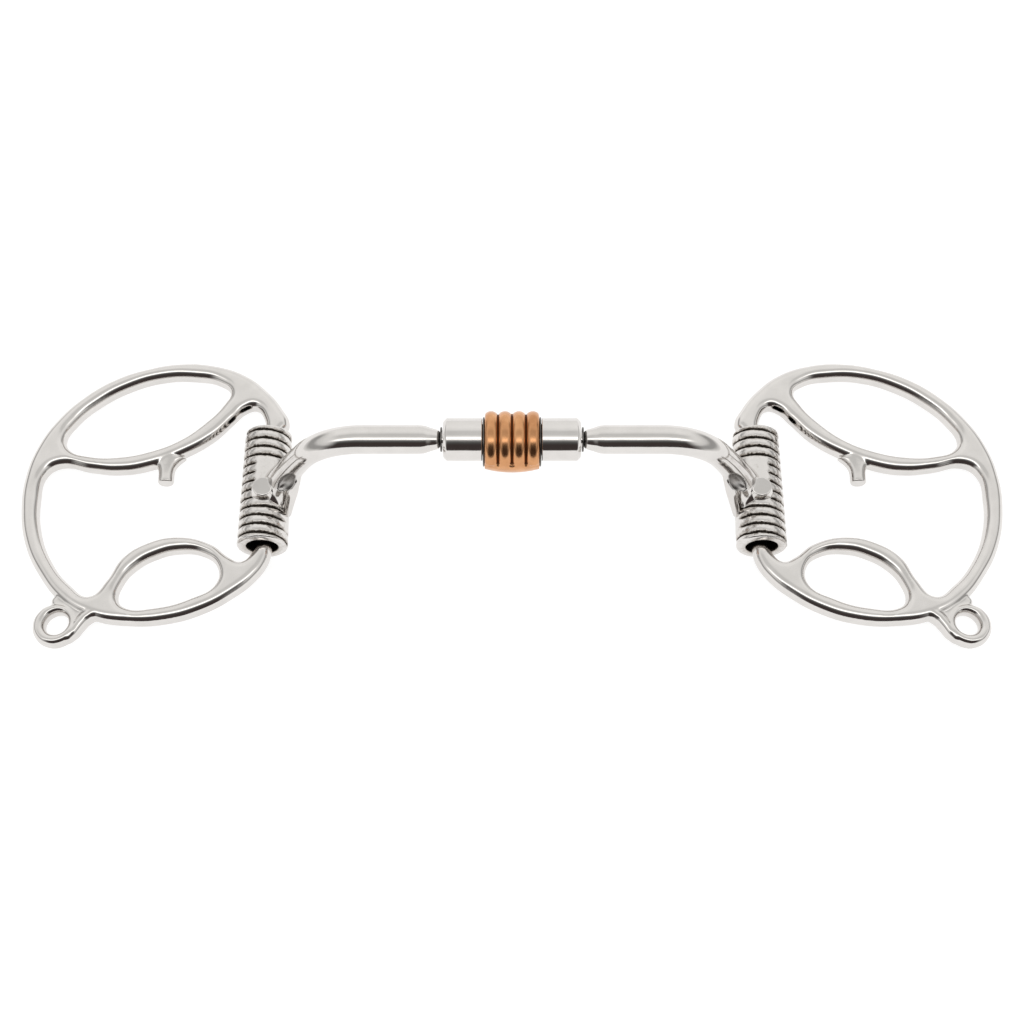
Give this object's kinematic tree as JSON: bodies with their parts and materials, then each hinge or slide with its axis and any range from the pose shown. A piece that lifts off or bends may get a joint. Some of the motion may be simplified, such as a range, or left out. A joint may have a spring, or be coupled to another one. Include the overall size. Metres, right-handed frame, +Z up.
{
  "type": "snaffle bit",
  "caption": "Barrel-mouth snaffle bit: cheek rings with strap slots turn in grooved sleeves on curved arms, which swivel in a centre barrel carrying a ribbed copper roller.",
  "frame": {"origin": "on the surface that the bit rests on, under the middle of its overall box", "axes": "+X towards the rider's right cheek, along the mouth; +Y towards the headstall slots; +Z up, the way the mouth arches"},
  "size_m": [0.2754, 0.0875, 0.0437],
  "materials": {
    "polished_steel": "polished stainless steel",
    "antiqued_steel": "polished stainless steel with blackened grooves",
    "dark_steel": "dark satin steel",
    "copper": "polished copper"
  },
  "bodies": {
    "barrel": {"roller_spindle": "polished_steel", "left_barrel_collar": "polished_steel", "right_barrel_collar": "polished_steel"},
    "left_arm": {"left_mouth_arm": "polished_steel", "left_cheek_sleeve": "antiqued_steel", "left_neck_washer": "dark_steel", "left_pin_washer": "dark_steel"},
    "left_cheek": {"left_cheek_ring": "polished_steel"},
    "right_arm": {"right_mouth_arm": "polished_steel", "right_cheek_sleeve": "antiqued_steel", "right_neck_washer": "dark_steel", "right_pin_washer": "dark_steel"},
    "right_cheek": {"right_cheek_ring": "polished_steel"},
    "roller": {"copper_roller": "copper", "left_roller_washer": "dark_steel", "right_roller_washer": "dark_steel"}
  },
  "joints": [
    {"name": "left_arm_swivel", "type": "hinge", "parent": "barrel", "child": "left_arm", "pos_m": [0, 0.002, 0.0368], "axis": [1, 0, 0], "continuous": true},
    {"name": "left_cheek_hinge", "type": "hinge", "parent": "left_arm", "child": "left_cheek", "pos_m": [-0.0688, 0.002, 0.0071], "axis": [0, 1, 0], "range_deg": [-150, 95]},
    {"name": "right_arm_swivel", "type": "hinge", "parent": "barrel", "child": "right_arm", "pos_m": [0, 0.002, 0.0368], "axis": [1, 0, 0], "continuous": true},
    {"name": "right_cheek_hinge", "type": "hinge", "parent": "right_arm", "child": "right_cheek", "pos_m": [0.0688, 0.002, 0.0071], "axis": [0, -1, 0], "range_deg": [-150, 95]},
    {"name": "copper_roller_roll", "type": "hinge", "parent": "barrel", "child": "roller", "pos_m": [0, 0.002, 0.0355], "axis": [1, 0, 0], "continuous": true}
  ]
}
